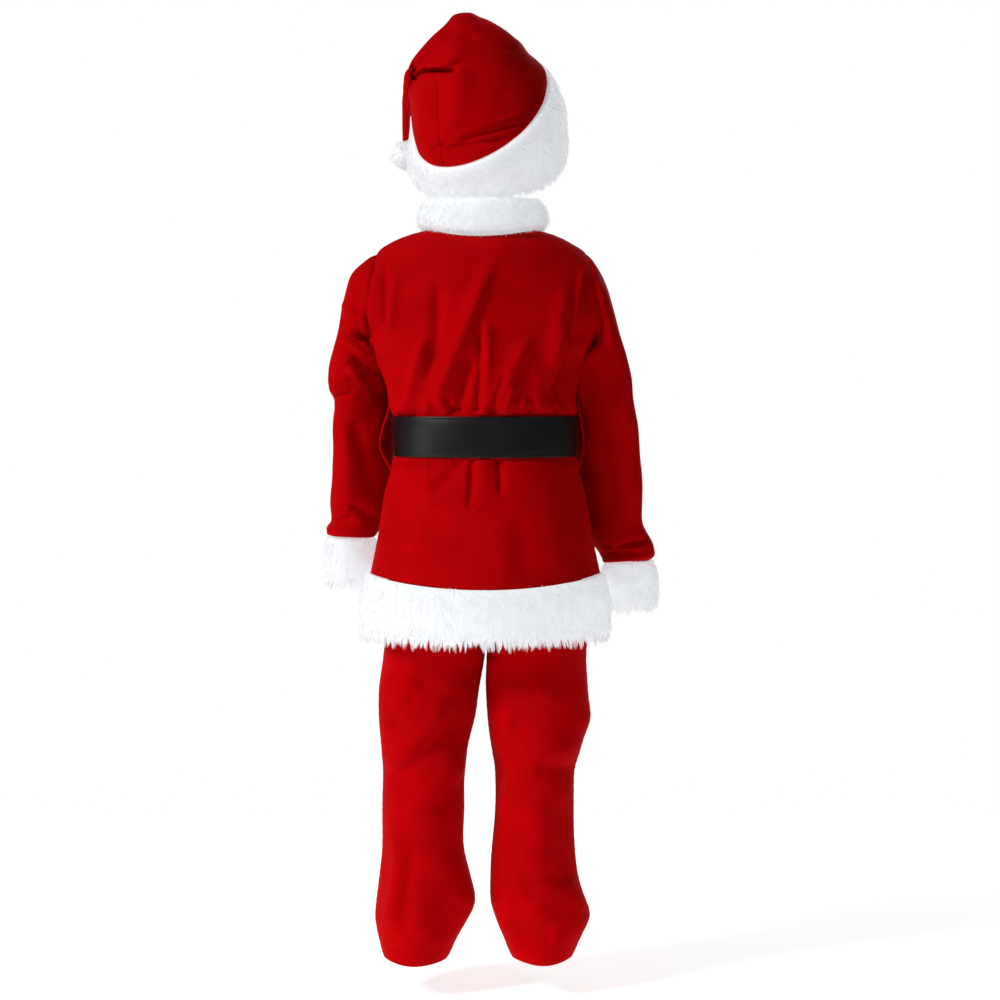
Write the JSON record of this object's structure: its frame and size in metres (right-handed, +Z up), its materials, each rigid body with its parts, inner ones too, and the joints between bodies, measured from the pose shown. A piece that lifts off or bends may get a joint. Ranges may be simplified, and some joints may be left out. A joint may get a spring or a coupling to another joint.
{
  "type": "santa suit",
  "caption": "Child's red velour Santa suit as worn: folded hat with pompom, jacket gathered by a black belt, white fur collar, cuffs and hem, and straight trousers.",
  "frame": {"origin": "base of the wearer's neck, midway between the shoulders, where the jacket hangs from the wearer", "axes": "+Z up, the wearer faces -Y and the wearer's left is +X"},
  "size_m": [0.426, 0.2542, 1.1801],
  "materials": {
    "velour": "short-pile velour, soft sheen",
    "fur": "long-pile faux fur",
    "belt": "satin coated",
    "buckle": "polished plate",
    "elastic": "ribbed elastic"
  },
  "bodies": {
    "root": {"belt": "belt", "belt_loop_left": "velour", "belt_loop_right": "velour", "buckle": "buckle", "collar_fur": "fur", "cuff_left": "fur", "cuff_right": "fur", "hat_brim_fur": "fur", "hat_left": "velour", "hat_pompom": "fur", "hat_right": "velour", "hem_fur": "fur", "jacket_back": "velour", "jacket_front_left": "velour", "jacket_front_right": "velour", "sleeve_left": "velour", "sleeve_right": "velour", "trouser_back_left": "velour", "trouser_back_right": "velour", "trouser_front_left": "velour", "trouser_front_right": "velour", "waistband": "elastic"}
  },
  "joints": []
}
